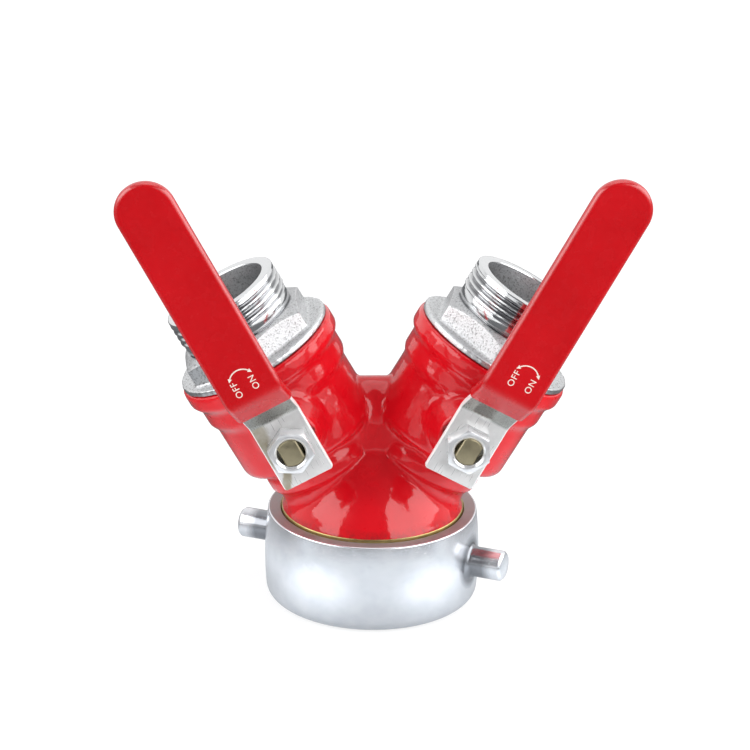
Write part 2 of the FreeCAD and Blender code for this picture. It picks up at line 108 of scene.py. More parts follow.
# Strength of the painted shade on the hexagon's chamfer, fading in over HEX_EDGE_FADE
HEX_CHAMFER_SHADE = 0.4
HEX_EDGE_FADE = (-0.2, 0.4)
HEX_FOOT_FILLET = 1.3
FLANGE_R = 34.8
FLANGE_ROUND = 0.7
FLANGE_FLAT_INSET = 1.0
RIM_GAP = 0.05             # between the flange and the casting's rim
FLANGE_CHIPS = ((0.10, 7, 1.0), (0.08, 23, 0.0), (0.07, 61, 2.0))  # size, waves around, phase
BORE_CAST = 0.8            # share of the cast finish in the bore
RIM_CAST = 0.6
SPIGOT_R = 30.3
SPIGOT_END_S = 88.51
SEAT_POCKET_R = 21.4
SEAT_POCKET_S = 95.41
ADAPTER_COLUMNS = 288

# Swivel ring
RING_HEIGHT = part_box("swivel_ring")[1].z / MM
INLET_THREAD_R = mounts["inlet_thread"]["dims"]["r_mm"]
INLET_THREAD_END = 15.0
INLET_LEAD_IN = mounts["inlet_thread"]["pos_m"][2] / MM
INLET_PITCH = 3.39
INLET_THREAD_DEPTH = 1.7
RING_BORE_R = 39.45
RING_MAX_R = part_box("swivel_ring")[1].y / MM
RING_BARREL = 1.3          # less than the solid's: the photographed wall stands more upright
RING_TOP_R = RING_MAX_R - RING_BARREL
RING_MAX_Z = 18.2
RING_CORNER = 4.7
RING_EDGE_ROUND = 0.8
RING_BORE_EDGE = 0.3
RING_FACE_MARGIN = 0.02
RING_COLUMNS = 256
INLET_ROW = 0.17
INLET_RUNOUT = 1.5
LUG_R = 6.5
LUG_TIP = 61.0
LUG_Z = 21.2
LUG_ANGLE = -24.2
LUG_CHAMFER = 1.1
LUG_FILLET = 2.0
LUG_SINK = 1.5             # the fillet's edge goes this far into the wall
LUG_SHADE = (6.0, 2.5)     # the painted shade around a lug starts and is full this far outside it
LUG_SHADE_SHARE = 0.8

# Trunk of the casting
TAIL_R = 39.1
TAIL_TOP_Z = RING_HEIGHT + 0.8
TAIL_EDGE_INNER_R = 37.4
TAIL_EDGE_BOTTOM_Z = 34.0
TAIL_EDGE_PROUD = 0.35
HOLLOW_R = 31.0
HOLLOW_WALL_Z = TAIL_TOP_Z - 5.8
HOLLOW_RISE = 21.0
BARE_MARGIN = 1.0
# Beyond each distance along a branch, the casting is bare within the radius
BARE_RADII = ((86.0, 31.0), (54.0, 28.6), (48.0, 22.4), (0.0, 17.6))
# The enamel is darker in patches up to this height above the tail's top
DARK_FOOT_HEIGHT = 4.5

# Skin of the casting, and where its fillets fade in
SKIN_VOXEL = 1.06
FILL_PASSES = 14           # each takes the normals anew
FILL_ROUNDS = 5            # of each pass
FILL_STEP = 0.6
SOFTEN_ROUNDS = 1
SOFTEN_STEP = 0.5
VALLEY_HALF_X = (17.0, 12.0)
VALLEY_LOW_Z = (73.0, 79.0)
VALLEY_HIGH_Z = (97.5, 93.0)
BOSS_FADE_R = (21.0, 17.0)
BOSS_FADE_Y = (15.0, 22.0)
TRUNK_FADE_S = (42.0, 39.0)
TAIL_FADE_Z = (1.0, 4.0)   # above the tail's top
SMALL_FILLET = 0.3         # share of the valley's fillet at bosses and trunk

# Lever and grip
LEVER_LEAN = 28.5
LEVER_HALF_WIDTH = 11.3
# Painted shade of the bend starts about this far along the lever from its valve's centre, fading over SLOPE_FADE
# each way
SLOPE_START = 14.0
SLOPE_FADE = 0.6
LEVER_EDGE_HIGHLIGHT = (0.7, 0.2)    # painted highlight along the edges, starting and full this far in from the lever's edge
LEVER_EDGE = 0.8
NUT_EDGE = 0.25
STEM_EDGE = 0.15
PRINT_ALONG = 38.4
PRINT_ACROSS = 3.9
PRINT_HEIGHT = 3.9
PRINT_SHIFT = {"left": (0.0, 0.4), "right": (1.3, -1.4)}
PRINT_LIFT = 0.03
PRINT_SPACING = 1.12
ARROW_MIDDLE_ALONG = 40.6
ARROW_R = 5.4
ARROW_HALF_ANGLE = 52.0
ARROW_STROKE = 0.5
ARROW_HEAD = (1.7, 0.85)
ARROW_OVERLAP = 0.1

# Tarnish of the left lever, about its valve's centre
TARNISH_WANDER = 2.0
TARNISH_EDGE_X = (-4.5, -7.0)
TARNISH_LOW_Z = (-7.0, -3.0)
TARNISH_HIGH_Z = (20.0, 16.0)
RUN_X = -1.4
RUN_HALF_WIDTH = (2.2, 1.4)
RUN_WANDER = 0.3
RUN_TOP_Z = (-7.5, -8.5)

# Light on the floor and in the studio, as the plating mirrors it
POOL_X = 66.0
POOL_Y = -58.0
POOL_REACH = 62.0
POOL_CORE = 10.0
POOL_BRIGHT = 0.8
SIDE_POOL_X = 190.0
SIDE_POOL_Y = -75.0
FLOOR_LIT_Y = -70.0
FLOOR_LIT_R = 110.0
FLOOR_DARK_R = 190.0
FLOOR_DARK = 0.10
FLOOR_HALF = 5000.0
FLOOR_GLOW_R = (400.0, 1200.0)
FLOOR_GLOW = (1.1, 1.45)
FLOOR_SEEN_WHITE = 0.7     # share of the glow in what the camera sees of the floor
FLOOR_MIRRORED = 0.93      # share of the light and dark patches in what mirrors see of it
CONTACT_SHADE_R = 80.0
CONTACT_DARK = 0.50
WHITE = (1.0, 1.0, 1.0, 1)
FRONT_WALL = (0.86, 0.87, 0.89, 1)
SIDE_WALL = (1.25, 1.25, 1.25, 1)
DARK_ROOM = (0.12, 0.12, 0.13, 1)
FRONT_FADE_Y = (0.6, -0.1) # these three are parts of a direction of length 1
SIDE_FADE_X = (0.35, 0.65)
LOW_FADE_Z = (0.30, 0.05)
LIGHT_TARGET = Vector((0, 0, 90.0)) * MM
SOFT_BOXES = (             # name, place, width, height in metres, radiance
    ("left_box", (-1.10, -0.30, 0.80), 1.5, 0.9, 3.4),
    ("right_box", (1.08, -0.40, 0.78), 2.5, 1.0, 3.4),
    ("top_box", (0, 0.15, 1.5), 1.2, 0.9, 1.5))


# Mesh helpers

def new_object(name, mesh):
    piece = bpy.data.objects.new(name, mesh)
    bpy.context.scene.collection.objects.link(piece)
    return piece


def smooth_shaded(mesh, crease_degrees):
    """Smooth shading, with edges sharper than the crease angle kept sharp."""
    mesh.shade_smooth()
    mesh.set_sharp_from_angle(angle=math.radians(crease_degrees))


def branch_matrix(side):
    """Placement of a shape drawn about Z, with Z as distance along a branch."""
    along = branch_axis[side]
    across = Vector((0, 1, 0))
    return Matrix.LocRotScale(crossing, Matrix((across.cross(along), across, along)).transposed(), None)


def lever_matrix(side):
    """Placement of a shape drawn about a valve's centre with its lever along +Z."""
    turn = Matrix.Rotation(math.radians(SIDES[side] * LEVER_LEAN), 3, "Y")
    return Matrix.LocRotScale(pivot[side], turn, None)


def arc(centre, radius, start, end, steps):
    """Points of an arc in a section, with angles in degrees from outward towards up."""
    angles = np.radians(np.linspace(start, end, steps))
    return [(centre[0] + radius * math.cos(a), centre[1] + radius * math.sin(a)) for a in angles]


def line(first, last, steps):
    shares = np.linspace(0, 1, steps)[:, None]
    return [tuple(point) for point in np.array(first) + shares * np.subtract(last, first)]


def smooth_step(value, low, high):
    share = np.clip((value - low) / (high - low), 0, 1)
    return share * share * (3 - 2 * share)


def smooth_min(a, b, reach):
    """Lower of two values, with the change from one to the other rounded over a reach."""
    share = np.clip(0.5 + 0.5 * (b - a) / reach, 0, 1)
    return b + (a - b) * share - reach * share * (1 - share)


class Section:
    """Rows of a ring-shaped mesh about Z; each row holds a radius and a height for every direction."""

    def __init__(self, columns, turn=0.0):
        self.angles = np.radians(turn) + np.linspace(0, 2 * math.pi, columns, endpoint=False)
        self.radii = []
        self.heights = []
        # Marks per point: share of the cast finish, and painted shade
        self.marks = {"cast": [], "groove": []}

    def row(self, radius, height, cast=0.0, groove=0.0):
        for values, value in ((self.radii, radius), (self.heights, height),
                              (self.marks["cast"], cast), (self.marks["groove"], groove)):
            values.append(np.broadcast_to(value, self.angles.shape))

    def rows(self, points, cast=0.0):
        for radius, height in points:
            self.row(radius, height, cast)

    def mesh(self, name):
        """Closed mesh: the last row joins the first. The marks become point attributes."""
        radius = np.array(self.radii)
        points = np.stack([radius * np.cos(self.angles), radius * np.sin(self.angles),
                           np.array(self.heights)], axis=-1).reshape(-1, 3) * MM
        index = np.arange(radius.size).reshape(radius.shape)
        after = np.roll(index, -1, axis=1)
        faces = np.stack([index, np.roll(index, -1, axis=0), np.roll(after, -1, axis=0), after], axis=-1)
        mesh = bpy.data.meshes.new(name)
        mesh.from_pydata(points.tolist(), [], faces.reshape(-1, 4).tolist())
        for mark, values in self.marks.items():
            attribute = mesh.attributes.new(mark, "FLOAT", "POINT")
            attribute.data.foreach_set("value", np.array(values, np.float32).ravel())
        outward_normals(mesh)
        return mesh


def outward_normals(mesh):
    work = bmesh.new()
    work.from_mesh(mesh)
    bmesh.ops.recalc_face_normals(work, faces=work.faces)
    work.to_mesh(mesh)
    work.free()


def thread_height(phase):
    """1 on a thread's crest and 0 in its root, over one pitch, with straight flanks and narrow flats."""
    wave = np.abs((phase % 1.0) * 2 - 1)
    return smooth_step(wave, 0.06, 0.9) * 0.4 + np.clip((wave - 0.14) / 0.7, 0, 1) * 0.6


def joined(name, meshes):
    """One mesh from several."""
    work = bmesh.new()
    for mesh in meshes:
        work.from_mesh(mesh)
    result = bpy.data.meshes.new(name)
    work.to_mesh(result)
    work.free()
    return result


def bevelled_copy(node, name, width, crease_degrees=30.0):
    """Copy of a node's mesh with its sharp edges rounded."""
    work = bmesh.new()
    work.from_mesh(frame["nodes"][node].data)
    bmesh.ops.remove_doubles(work, verts=work.verts, dist=0.001 * MM)
    bmesh.ops.dissolve_limit(work, angle_limit=math.radians(0.5), verts=work.verts, edges=work.edges)
    sharp = [e for e in work.edges if len(e.link_faces) == 2
             and e.calc_face_angle() > math.radians(crease_degrees)]
    bmesh.ops.bevel(work, geom=sharp, offset=width * MM, segments=3, profile=0.5, affect="EDGES",
                    clamp_overlap=True)
    mesh = bpy.data.meshes.new(name)
    work.to_mesh(mesh)
    work.free()
    smooth_shaded(mesh, crease_degrees)
    return new_object(name, mesh)


# Shader helpers

def new_material(name):
    material = bpy.data.materials.new(name)
    material.use_nodes = True
    return material, material.node_tree, material.node_tree.nodes["Principled BSDF"]


def feed(tree, socket, value):
    """Links the output that feeds a socket, or sets the socket's value."""
    if isinstance(value, bpy.types.NodeSocket):
        tree.links.new(value, socket)
    else:
        socket.default_value = value


def add_node(tree, kind, inputs=None, **settings):
    """A node with its settings; an input is a value or the output that feeds it."""
    node = tree.nodes.new(kind)
    for key, value in settings.items():
        setattr(node, key, value)
    for key, value in (inputs or {}).items():
        feed(tree, node.inputs[key], value)
    return node


def place_of(tree):
    """Place on the part, in its own frame at rest."""
    return add_node(tree, "ShaderNodeTexCoord").outputs["Object"]


def noise(tree, place, size, detail=3.0, roughness=0.5):
    """Noise with features of about a size in millimetres."""
    return add_node(tree, "ShaderNodeTexNoise", {
        "Vector": place, "Scale": 1 / (size * MM), "Detail": detail, "Roughness": roughness}).outputs["Fac"]


def remap(tree, value, low, high, to_low=0.0, to_high=1.0):
    inputs = {"Value": value, "From Min": low, "From Max": high, "To Min": to_low, "To Max": to_high}
    return add_node(tree, "ShaderNodeMapRange", inputs).outputs["Result"]


def fade(tree, value, limits, full=1.0):
    """0 at the first of two distances in millimetres, and full at the second."""
    return remap(tree, value, limits[0] * MM, limits[1] * MM, 0.0, full)


def math_node(tree, operation, a, b=0.0):
    return add_node(tree, "ShaderNodeMath", {0: a, 1: b}, operation=operation).outputs["Value"]


def vector_node(tree, operation, a, b, output="Vector"):
    return add_node(tree, "ShaderNodeVectorMath", {0: a, 1: b}, operation=operation).outputs[output]


def mix_colour(tree, share, first, second):
    node = add_node(tree, "ShaderNodeMix", data_type="RGBA")
    for key, value in ((0, share), (6, first), (7, second)):
        feed(tree, node.inputs[key], value)
    return node.outputs[2]


def bump(tree, height, distance, strength=1.0, normal=None):
    """Normal from a height; the distance in millimetres is how tall a height of 1 stands."""
    inputs = {"Height": height, "Distance": distance * MM, "Strength": strength}
    if normal is not None:
        inputs["Normal"] = normal
    return add_node(tree, "ShaderNodeBump", inputs).outputs["Normal"]


def attach(tree, bsdf, **inputs):
    """Connects outputs to the shader, or sets its constants; underscores stand for spaces."""
    for key, value in inputs.items():
        feed(tree, bsdf.inputs[key.replace("_", " ")], value)


def parts_of(tree, place):
    return add_node(tree, "ShaderNodeSeparateXYZ", {"Vector": place}).outputs


# Materials

def red_enamel():
    """Thick glossy enamel on a sand casting: soft unevenness, and darker in patches towards the foot, above the
    bare tail edge.
    """
    material, tree, bsdf = new_material("red_enamel")
    place = place_of(tree)
    tone = mix_colour(tree, remap(tree, noise(tree, place, 22.0, 4.0), 0.35, 0.65),
                      (0.58, 0.003, 0.009, 1), (0.68, 0.004, 0.011, 1))
    height = parts_of(tree, place)["Z"]
    # Darker in patches towards the foot, above the bare tail edge
    foot = fade(tree, height, (TAIL_TOP_Z + DARK_FOOT_HEIGHT, TAIL_TOP_Z))
    dark_foot_patches = math_node(tree, "MULTIPLY", foot, remap(tree, noise(tree, place, 3.0, 5.0, 0.7), 0.40, 0.62))
    colour = mix_colour(tree, math_node(tree, "MULTIPLY", dark_foot_patches, 0.55), tone, (0.09, 0.012, 0.012, 1))
    swell = bump(tree, noise(tree, place, 15.0, 2.0), 0.55)
    grain = bump(tree, noise(tree, place, 2.4, 3.0), 0.05, normal=swell)
    attach(tree, bsdf, Base_Color=colour, Normal=grain, Coat_Normal=grain, Specular_IOR_Level=0.12,
           Coat_Weight=0.85, Coat_Roughness=0.04,
           Roughness=remap(tree, noise(tree, place, 6.0), 0.3, 0.7, 0.25, 0.37))
    return material


def bare_brass(name, light, dark):
    """Machined brass, gone dull in patches, with fine turning marks."""
    material, tree, bsdf = new_material(name)
    place = place_of(tree)
    colour = mix_colour(tree, remap(tree, noise(tree, place, 4.0, 5.0, 0.6), 0.3, 0.7), light, dark)
    marks = bump(tree, noise(tree, place, 0.5, 2.0), 0.02)
    attach(tree, bsdf, Base_Color=colour, Metallic=1.0, Normal=marks,
           Roughness=remap(tree, noise(tree, place, 2.5), 0.3, 0.7, 0.3, 0.48))
    return material


def satin_chrome():
    """Plating of the ring and the balls: soft reflections, faint clouds, a few pits, and painted shade round the
    lugs' roots.
    """
    material, tree, bsdf = new_material("satin_chrome")
    place = place_of(tree)
    cloud = noise(tree, place, 9.0, 4.0, 0.6)
    colour = mix_colour(tree, remap(tree, cloud, 0.3, 0.7), (0.70, 0.73, 0.77, 1), (0.79, 0.81, 0.84, 1))
    # Painted shade on the plating round the root of each lug
    for turn in (0, 180):
        root = Matrix.Rotation(math.radians(LUG_ANGLE + turn), 3, "Z") @ Vector((RING_MAX_R, 0, LUG_Z)) * MM
        away = vector_node(tree, "DISTANCE", place, root, "Value")
        near = fade(tree, away, [LUG_R + distance for distance in LUG_SHADE], LUG_SHADE_SHARE)
        colour = mix_colour(tree, near, colour, (0.16, 0.17, 0.19, 1))
    pits = remap(tree, noise(tree, place, 0.9, 2.0), 0.30, 0.36)
    relief = bump(tree, pits, 0.02, normal=bump(tree, noise(tree, place, 7.0), 0.05))
    attach(tree, bsdf, Base_Color=colour, Metallic=0.75, Normal=relief,
           Roughness=remap(tree, cloud, 0.3, 0.7, 0.17, 0.25))
    return material


def cast_chrome():
    """Plating on the adapters: bright on turned faces, speckled where the hexagon was left as cast, with painted
    shade in the thread's roots, at the collar's foot, on the hexagon's chamfer and under the flange's rim.
    """
    material, tree, bsdf = new_material("cast_chrome")
    place = place_of(tree)
    cast = add_node(tree, "ShaderNodeAttribute", attribute_name="cast").outputs["Fac"]
    speckle = noise(tree, place, 0.8, 4.0, 0.65)
    dark = math_node(tree, "MULTIPLY", cast, remap(tree, speckle, 0.51, 0.64))
    plate = mix_colour(tree, cast, (0.76, 0.77, 0.78, 1), (0.71, 0.72, 0.73, 1))
    colour = mix_colour(tree, dark, plate, (0.30, 0.30, 0.30, 1))
    # Painted shade marked on the mesh: thread roots, the collar's foot, the hexagon's chamfer and under the
    # flange's rim
    groove = add_node(tree, "ShaderNodeAttribute", attribute_name="groove").outputs["Fac"]
    colour = mix_colour(tree, math_node(tree, "MULTIPLY", groove, 0.65), colour, (0.10, 0.10, 0.11, 1))
    rough = math_node(tree, "ADD", remap(tree, noise(tree, place, 3.0), 0.3, 0.7, 0.10, 0.17),
                      math_node(tree, "MULTIPLY", cast, 0.3))
    grain = bump(tree, math_node(tree, "MULTIPLY", cast, speckle), 0.22)
    attach(tree, bsdf, Base_Color=colour, Metallic=1.0, Normal=grain, Roughness=rough)
    return material


def plated_steel(side, tarnished):
    """Nickel-plated strip, brushed along its length, with painted shade in the bend and a painted highlight along
    its edges.
    """
    material, tree, bsdf = new_material(side + "_plated_steel")
    place = place_of(tree)
    offset = vector_node(tree, "SUBTRACT", place, pivot[side])
    local = add_node(tree, "ShaderNodeVectorRotate", {
        "Vector": offset, "Angle": math.radians(-SIDES[side] * LEVER_LEAN)},
        rotation_type="Y_AXIS").outputs["Vector"]
    brushed = vector_node(tree, "MULTIPLY", local, (1.0, 1.0, 0.06))
    lines = noise(tree, brushed, 0.5, 3.0)
    cloud = noise(tree, place, 8.0, 4.0, 0.6)
    colour = mix_colour(tree, remap(tree, cloud, 0.3, 0.7), (0.66, 0.66, 0.65, 1), (0.78, 0.78, 0.77, 1))
    if tarnished:
        colour = mix_colour(tree, tarnish_share(tree, offset, local), colour, (0.30, 0.26, 0.16, 1))
    where = parts_of(tree, local)
    # Painted shade in the bend, darker along the brushed lines
    bend_shade = fade(tree, where["Z"], (SLOPE_START - SLOPE_FADE, SLOPE_START + SLOPE_FADE))
    dark = mix_colour(tree, remap(tree, lines, 0.35, 0.65), (0.22, 0.22, 0.20, 1), (0.38, 0.38, 0.36, 1))
    colour = mix_colour(tree, bend_shade, colour, dark)
    # Painted highlight along both edges: lighter and less metallic
    from_middle = math_node(tree, "ABSOLUTE", where["X"])
    edge_highlight = fade(tree, from_middle, [LEVER_HALF_WIDTH - inset for inset in LEVER_EDGE_HIGHLIGHT])
    colour = mix_colour(tree, edge_highlight, colour, (0.90, 0.90, 0.89, 1))
    metallic = math_node(tree, "MULTIPLY", remap(tree, bend_shade, 0.0, 1.0, 0.45, 0.9),
                         remap(tree, edge_highlight, 0.0, 1.0, 1.0, 0.3))
    attach(tree, bsdf, Base_Color=colour, Metallic=metallic, Normal=bump(tree, lines, 0.015),
           Roughness=remap(tree, lines, 0.3, 0.7, 0.26, 0.38))
    return material


def tarnish_share(tree, offset, local):
    """How tarnished the left lever is: along its outer edge up to the bend, and in a run below the nut."""
    where = parts_of(tree, local)
    hanging = parts_of(tree, offset)
    patchy = noise(tree, local, 4.0, 4.0, 0.6)
    wander = remap(tree, patchy, 0.2, 0.8, -TARNISH_WANDER * MM, TARNISH_WANDER * MM)
    outer = fade(tree, math_node(tree, "ADD", where["X"], wander), TARNISH_EDGE_X)
    outer = math_node(tree, "MULTIPLY", outer, fade(tree, where["Z"], TARNISH_LOW_Z))
    outer = math_node(tree, "MULTIPLY", outer, fade(tree, where["Z"], TARNISH_HIGH_Z))
    run = math_node(tree, "ABSOLUTE", math_node(tree, "SUBTRACT", hanging["X"], RUN_X * MM))
    run = math_node(tree, "ADD", run, math_node(tree, "MULTIPLY", wander, RUN_WANDER))
    run = fade(tree, run, RUN_HALF_WIDTH)
    run = math_node(tree, "MULTIPLY", run, fade(tree, hanging["Z"], RUN_TOP_Z))
    return math_node(tree, "MULTIPLY", math_node(tree, "MAXIMUM", outer, run),
                     remap(tree, patchy, 0.25, 0.75, 0.55, 0.95))


def bright_zinc():
    """Zinc plate with fine scratches."""
    material, tree, bsdf = new_material("bright_zinc")
    place = place_of(tree)
    cloud = noise(tree, place, 3.0, 4.0, 0.6)
    colour = mix_colour(tree, remap(tree, cloud, 0.3, 0.7), (0.84, 0.86, 0.88, 1), (0.92, 0.93, 0.94, 1))
    scratches = bump(tree, noise(tree, place, 0.4, 3.0), 0.012)
    attach(tree, bsdf, Base_Color=colour, Metallic=0.65, Normal=scratches,
           Roughness=remap(tree, cloud, 0.3, 0.7, 0.13, 0.22))
    return material


def dipped_vinyl():
    """Satin vinyl from a dip: soft unevenness, slight clouding, and glossy where it rounds the edges."""
    material, tree, bsdf = new_material("dipped_vinyl")
    place = place_of(tree)
    cloud = noise(tree, place, 28.0, 4.0, 0.55)
    colour = mix_colour(tree, remap(tree, cloud, 0.3, 0.7), (0.44, 0.002, 0.005, 1), (0.50, 0.003, 0.007, 1))
    skin = bump(tree, noise(tree, place, 0.6, 3.0), 0.01, normal=bump(tree, noise(tree, place, 11.0), 0.25))
    facing = parts_of(tree, add_node(tree, "ShaderNodeTexCoord").outputs["Normal"])["Y"]
    edge = remap(tree, math_node(tree, "ABSOLUTE", facing), 0.97, 0.75)
    attach(tree, bsdf, Base_Color=colour, Normal=skin, Specular_IOR_Level=remap(tree, edge, 0, 1, 0.14, 1.0),
           Roughness=remap(tree, noise(tree, place, 5.0), 0.3, 0.7, 0.22, 0.30))
    return material


def plain_finish(name, light, dark, rough, size, metallic=0.0):
    """Simple finish for small and inner pieces: two tones in fine clouds with a matching grain."""
    material, tree, bsdf = new_material(name)
    place = place_of(tree)
    cloud = noise(tree, place, size, 4.0, 0.6)
    colour = mix_colour(tree, remap(tree, cloud, 0.3, 0.7), light, dark)
    attach(tree, bsdf, Base_Color=colour, Metallic=metallic,
           Normal=bump(tree, noise(tree, place, size / 6), 0.02),
           Roughness=remap(tree, cloud, 0.3, 0.7, rough - 0.06, rough + 0.06))
    return material


# Casting

def laplacian_step(points, edges, degree):
    """From each point to the middle of its neighbours."""
    total = np.empty_like(points)
    for axis in range(3):
        total[:, axis] = (np.bincount(edges[:, 0], points[edges[:, 1], axis], len(points))
                          + np.bincount(edges[:, 1], points[edges[:, 0], axis], len(points)))
    return total / degree[:, None] - points


def vectors_of(collection, key):
    """A vector of each vertex or face as rows of an array."""
    values = np.empty(len(collection) * 3, np.float32)
    collection.foreach_get(key, values)
    return values.reshape(-1, 3).astype(float)


def branch_place(points, side):
    """Distance along a branch, distance from its axis, and distance from its stem's axis, in millimetres."""
    away = (points - np.array(crossing)) / MM
    along = away @ np.array(branch_axis[side])
    from_axis = np.sqrt(np.maximum((away ** 2).sum(axis=1) - along ** 2, 0))
    beside = (points - np.array(pivot[side])) / MM
    return along, from_axis, np.hypot(beside[:, 0], beside[:, 2])


def fillet_share(points):
    """Where the casting has fillets: large in the valley under the crotch, small at bosses and trunk."""
    share = np.zeros(len(points))
    height = points[:, 2] / MM
    valley = smooth_step(np.abs(points[:, 0]) / MM, *VALLEY_HALF_X)
    valley *= smooth_step(height, *VALLEY_LOW_Z) * smooth_step(height, *VALLEY_HIGH_Z)
    for side, sign in SIDES.items():
        mine = points[:, 0] * sign >= 0
        along, _, from_stem = branch_place(points, side)
        boss = smooth_step(from_stem, *BOSS_FADE_R) * smooth_step(-points[:, 1] / MM, *BOSS_FADE_Y)
        trunk = smooth_step(along, *TRUNK_FADE_S)
        share[mine] = np.maximum(valley, SMALL_FILLET * np.maximum(boss, trunk))[mine]
    return share * smooth_step(height - TAIL_TOP_Z, *TAIL_FADE_Z)


def blended_casting(name):
    """The casting as one skin: its inner corners filled to fillets and its edges softened."""
    piece = new_object(name, frame["nodes"]["wye_body"].data.copy())
    remesh = piece.modifiers.new("skin", "REMESH")
    remesh.mode = "VOXEL"
    remesh.voxel_size = SKIN_VOXEL * MM
    mesh = bpy.data.meshes.new_from_object(piece.evaluated_get(bpy.context.evaluated_depsgraph_get()))
    piece.modifiers.clear()
    piece.data = mesh
    edges = np.empty(len(mesh.edges) * 2, np.int32)
    mesh.edges.foreach_get("vertices", edges)
    edges = edges.reshape(-1, 2)
    points = vectors_of(mesh.vertices, "co")
    degree = np.bincount(edges.ravel(), minlength=len(points)).astype(float)
    share = fillet_share(points)[:, None]
    for _ in range(FILL_PASSES):
        normals = vectors_of(mesh.vertex_normals, "vector")
        for _ in range(FILL_ROUNDS):
            inward = (laplacian_step(points, edges, degree) * normals).sum(axis=1)
            points += FILL_STEP * share * normals * np.maximum(inward, 0)[:, None]
        mesh.vertices.foreach_set("co", points.astype(np.float32).ravel())
        mesh.update()
    for _ in range(SOFTEN_ROUNDS):
        points += SOFTEN_STEP * laplacian_step(points, edges, degree)
    mesh.vertices.foreach_set("co", points.astype(np.float32).ravel())
    mesh.update()
    mesh.shade_smooth()
    return piece


def is_bare(centres):
    """Inner faces of the casting, and its tail inside the ring, have no paint."""
    from_inlet = np.hypot(centres[:, 0], centres[:, 1]) / MM
    height = centres[:, 2] / MM
    oval = (from_inlet / HOLLOW_R) ** 2 + (np.maximum(height - HOLLOW_WALL_Z, 0) / HOLLOW_RISE) ** 2
    bare = (height < TAIL_TOP_Z - 0.2) | (oval < (1 + BARE_MARGIN / HOLLOW_RISE) ** 2)
    for side, sign in SIDES.items():
        mine = centres[:, 0] * sign > 0
        along, from_axis, _ = branch_place(centres, side)
        limit = np.full(len(centres), 0.0)
        for start, radius in reversed(BARE_RADII):
            limit[along > start] = radius
        bare |= mine & (from_axis < limit)
    return bare


def painted_casting(paint, brass):
    """The casting, painted outside and bare inside, and the edge of its tail that shows above the ring."""
    piece = blended_casting("painted_casting")
    mesh = piece.data
    mesh.materials.clear()
    mesh.materials.append(paint)
    mesh.materials.append(brass)
    bare = is_bare(vectors_of(mesh.polygons, "center"))
    mesh.polygons.foreach_set("material_index", bare.astype(np.int32))
    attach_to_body(piece, "wye")
    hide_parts("wye_body")
    edge = Section(RING_COLUMNS)
    top = TAIL_TOP_Z + TAIL_EDGE_PROUD
    edge.rows([(TAIL_R, TAIL_EDGE_BOTTOM_Z), (TAIL_R, top - 0.3), (TAIL_R - 0.25, top),
               (TAIL_EDGE_INNER_R, top), (TAIL_EDGE_INNER_R, TAIL_EDGE_BOTTOM_Z)])
    mesh = edge.mesh("bare_tail_edge")
    smooth_shaded(mesh, 30)
    mesh.materials.append(brass)
    ring = new_object("bare_tail_edge", mesh)
    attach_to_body(ring, "wye")


# Swivel ring

def barrel():
    """Centre and radius of the arc of the ring's wall; the wall is widest level with the centre."""
    rise = RING_HEIGHT - RING_EDGE_ROUND - RING_MAX_Z
    swell = RING_MAX_R - RING_TOP_R
    radius = (rise ** 2 + swell ** 2) / (2 * swell)
    return (RING_MAX_R - radius, RING_MAX_Z), radius


def wall_r(height):
    """Radius of the ring's wall at a height, in millimetres."""
    centre, radius = barrel()
    return centre[0] + np.sqrt(radius ** 2 - (height - centre[1]) ** 2)


def ring_mesh():
    """Swivel ring, from its bottom face over the wall and the top face to the inlet thread."""
    centre, radius = barrel()
    corner_out = math.sqrt((radius - RING_CORNER) ** 2 - (RING_MAX_Z - RING_CORNER) ** 2)
    corner_r = centre[0] + corner_out
    foot = math.degrees(math.atan2(RING_CORNER - RING_MAX_Z, corner_out))
    head = math.degrees(math.asin((RING_HEIGHT - RING_EDGE_ROUND - RING_MAX_Z) / radius))
    section = Section(RING_COLUMNS)
    section.rows(line((INLET_THREAD_R + INLET_LEAD_IN, 0), (corner_r, 0), 4))
    section.rows(arc((corner_r, RING_CORNER), RING_CORNER, -84, foot, 14))
    section.rows(arc(centre, radius, foot, head, 32)[1:])
    top_edge = (RING_TOP_R - RING_EDGE_ROUND, RING_HEIGHT - RING_EDGE_ROUND)
    section.rows(arc(top_edge, RING_EDGE_ROUND, 18, 90, 6))
    section.rows(line((RING_TOP_R - 2 * RING_EDGE_ROUND, RING_HEIGHT),
                      (RING_BORE_R + RING_BORE_EDGE, RING_HEIGHT), 3))
    section.rows(line((RING_BORE_R, RING_HEIGHT - RING_BORE_EDGE), (RING_BORE_R, INLET_THREAD_END), 4))
    for height in np.arange(INLET_THREAD_END, 0.0, -INLET_ROW):
        turn = thread_height(height / INLET_PITCH - section.angles / (2 * math.pi))
        runout = smooth_step(height, INLET_THREAD_END, INLET_THREAD_END - INLET_RUNOUT)
        root = INLET_THREAD_DEPTH * (1 - turn) * runout
        lead_in = np.maximum(INLET_LEAD_IN - height, 0)
        section.row(INLET_THREAD_R + np.maximum(root, lead_in), height)
    return section.mesh("ring")


